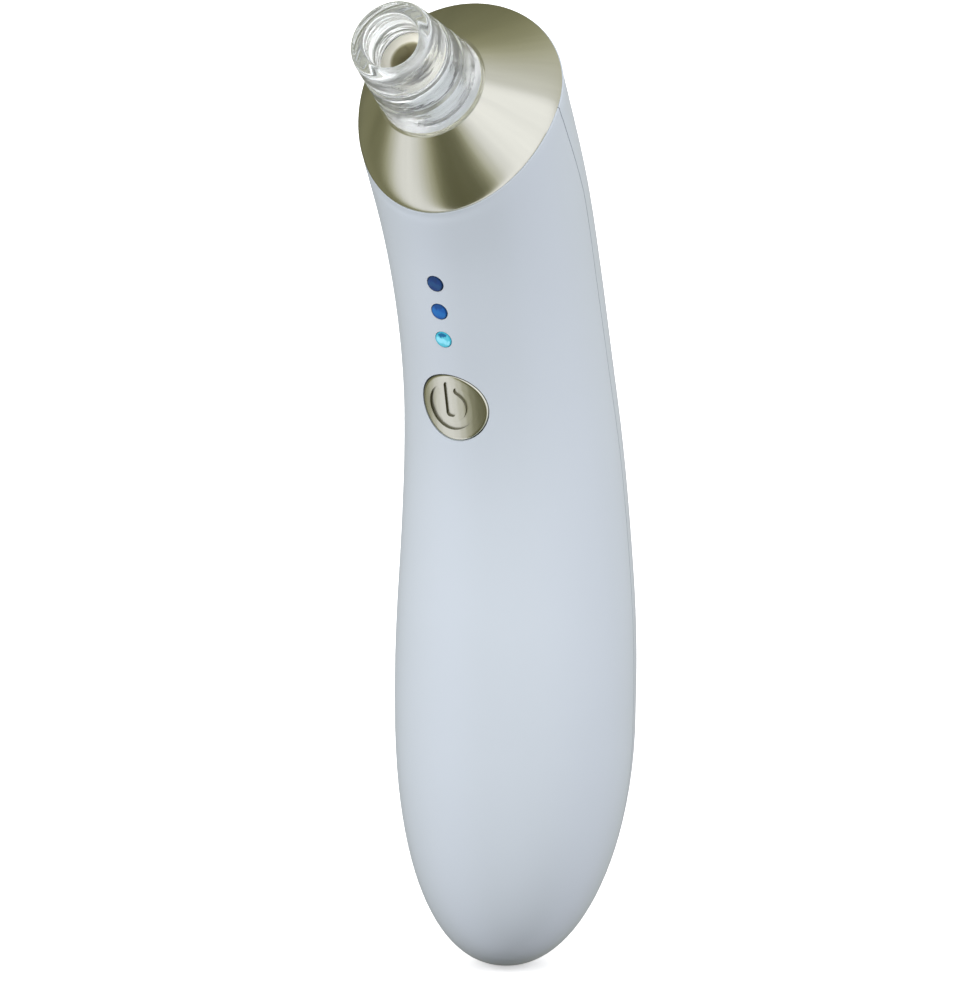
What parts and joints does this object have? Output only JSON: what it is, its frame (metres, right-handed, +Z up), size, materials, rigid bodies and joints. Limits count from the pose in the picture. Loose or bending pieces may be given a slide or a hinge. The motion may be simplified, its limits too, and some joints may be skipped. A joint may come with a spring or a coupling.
{
  "type": "pore vacuum",
  "caption": "Hand-held pore vacuum with a curved rounded handle, a leaning satin metal nose, a clear pull-off suction tip, a round power button and blue level lights.",
  "frame": {"origin": "below the middle of the outline seen from above, at the height of the handle's lowest point", "axes": "+Z up along the standing handle, -Y towards the button and the suction tip, +X to the right of someone facing the button"},
  "size_m": [0.041, 0.0678, 0.1792],
  "materials": {
    "shell": "pale blue-grey, soft gloss",
    "nose": "satin champagne plating, fine streaks towards the tip",
    "clear": "clear hard plastic, polished",
    "cream": "cream, slightly warm",
    "frame": "near black, as moulded",
    "rubber": "black, matt",
    "foam": "white open foam",
    "hose": "milky silicone",
    "pump": "mid grey, as moulded",
    "steel": "bright plating",
    "brass": "plain",
    "ferrite": "dark grey sintered magnet",
    "copper": "enamelled copper winding on a laminated core",
    "cell": "blue plastic wrap over the can",
    "nickel": "nickel strip",
    "board": "green solder mask",
    "led": "pale package",
    "chip": "black package",
    "lens": "translucent blue, polished",
    "wire_red": "red insulation",
    "wire_black": "black insulation"
  },
  "bodies": {
    "handle": {"front_shell": "shell", "rear_shell": "shell", "nose_cone": "nose", "nozzle_spigot": "cream", "tip_o_ring": "rubber", "filter_foam": "foam", "filter_retainer": "cream", "nozzle_carrier": "frame", "suction_hose": "hose", "pump_head": "pump", "pump_valve_plate": "frame", "pump_diaphragm": "rubber", "pump_yoke": "cream", "pump_chamber": "pump", "pump_screw_1": "steel", "pump_screw_2": "steel", "motor_magnet": "ferrite", "motor_can": "steel", "motor_bearing": "brass", "motor_end_cap": "frame", "motor_terminal_pos": "brass", "motor_terminal_neg": "brass", "motor_damper": "rubber", "battery_cell": "cell", "battery_cradle": "frame", "battery_tab_pos": "nickel", "battery_tab_neg": "nickel", "battery_lead_pos": "wire_red", "battery_lead_neg": "wire_black", "motor_lead_pos": "wire_red", "motor_lead_neg": "wire_black", "charge_lead_pos": "wire_red", "charge_lead_neg": "wire_black", "charge_socket": "steel", "charge_board": "board", "main_pcb": "board", "board_screw_1": "steel", "board_screw_2": "steel", "switch_body": "steel", "led_1": "led", "led_2": "led", "led_3": "led", "control_chip": "chip", "light_lens_1": "lens", "light_lens_2": "lens", "light_lens_3": "lens", "shell_screw_1": "steel", "shell_screw_2": "steel", "shell_screw_3": "steel", "shell_screw_4": "steel"},
    "button": {"power_button": "nose"},
    "plunger": {"switch_plunger": "frame"},
    "tip": {"suction_tip": "clear"},
    "rotor": {"motor_shaft": "steel", "motor_armature": "copper", "crank_cam": "frame", "crank_pin": "steel"}
  },
  "joints": [
    {"name": "power_button_press", "type": "slide", "parent": "handle", "child": "button", "axis": [0, 0.9843, 0.1765], "range_m": [0, 0.00035], "stiffness_N_per_m": 1200, "springref_m": -0.0002},
    {"name": "switch_plunger_press", "type": "slide", "parent": "handle", "child": "plunger", "axis": [0, 0.9699, 0.2433], "range_m": [0, 0.00035]},
    {"name": "pump_rotor_spin", "type": "hinge", "parent": "handle", "child": "rotor", "pos_m": [0, 0.01251, 0.085], "axis": [0, 0, 1], "continuous": true},
    {"name": "suction_tip_pull", "type": "slide", "parent": "handle", "child": "tip", "axis": [0, -0.7682, 0.6402], "range_m": [0, 0.025]}
  ],
  "couplings": [
    {"joint": "switch_plunger_press", "follows": "power_button_press", "ratio": 1}
  ]
}
